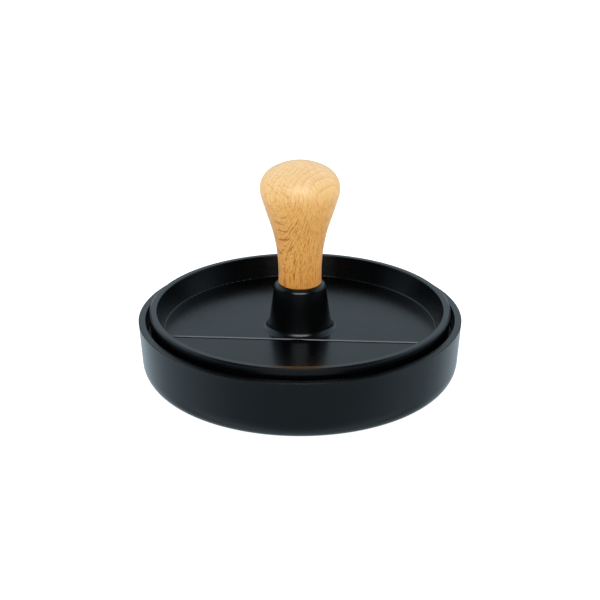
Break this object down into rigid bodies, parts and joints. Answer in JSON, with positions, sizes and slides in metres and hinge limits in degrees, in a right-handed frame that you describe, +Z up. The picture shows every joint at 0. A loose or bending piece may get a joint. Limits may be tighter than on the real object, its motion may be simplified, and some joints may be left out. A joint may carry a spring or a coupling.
{
  "type": "patty press",
  "caption": "Round two-part burger press: a plate with a turned wooden handle drops into a low dish-shaped mould and presses meat into a flat patty.",
  "frame": {"origin": "on the axis of the mould, on the surface that the mould stands on", "axes": "+Z up along the axis of mould, plate and handle; -Y towards the side where the fine raised line crosses the plate's floor, which runs along X"},
  "size_m": [0.13, 0.13, 0.0897],
  "materials": {
    "coated_aluminium": "satin",
    "beech": "satin",
    "brass": "satin",
    "stainless": "satin",
    "plug_silicone": "matte"
  },
  "bodies": {
    "base": {"mould": "coated_aluminium"},
    "press": {"press_plate": "coated_aluminium", "handle": "beech", "threaded_insert": "brass", "handle_screw": "stainless", "flat_washer": "stainless", "lock_washer": "stainless", "well_plug": "plug_silicone"}
  },
  "joints": [
    {"name": "press_lift", "type": "slide", "parent": "base", "child": "press", "axis": [0, 0, 1], "range_m": [0, 0.04]}
  ]
}
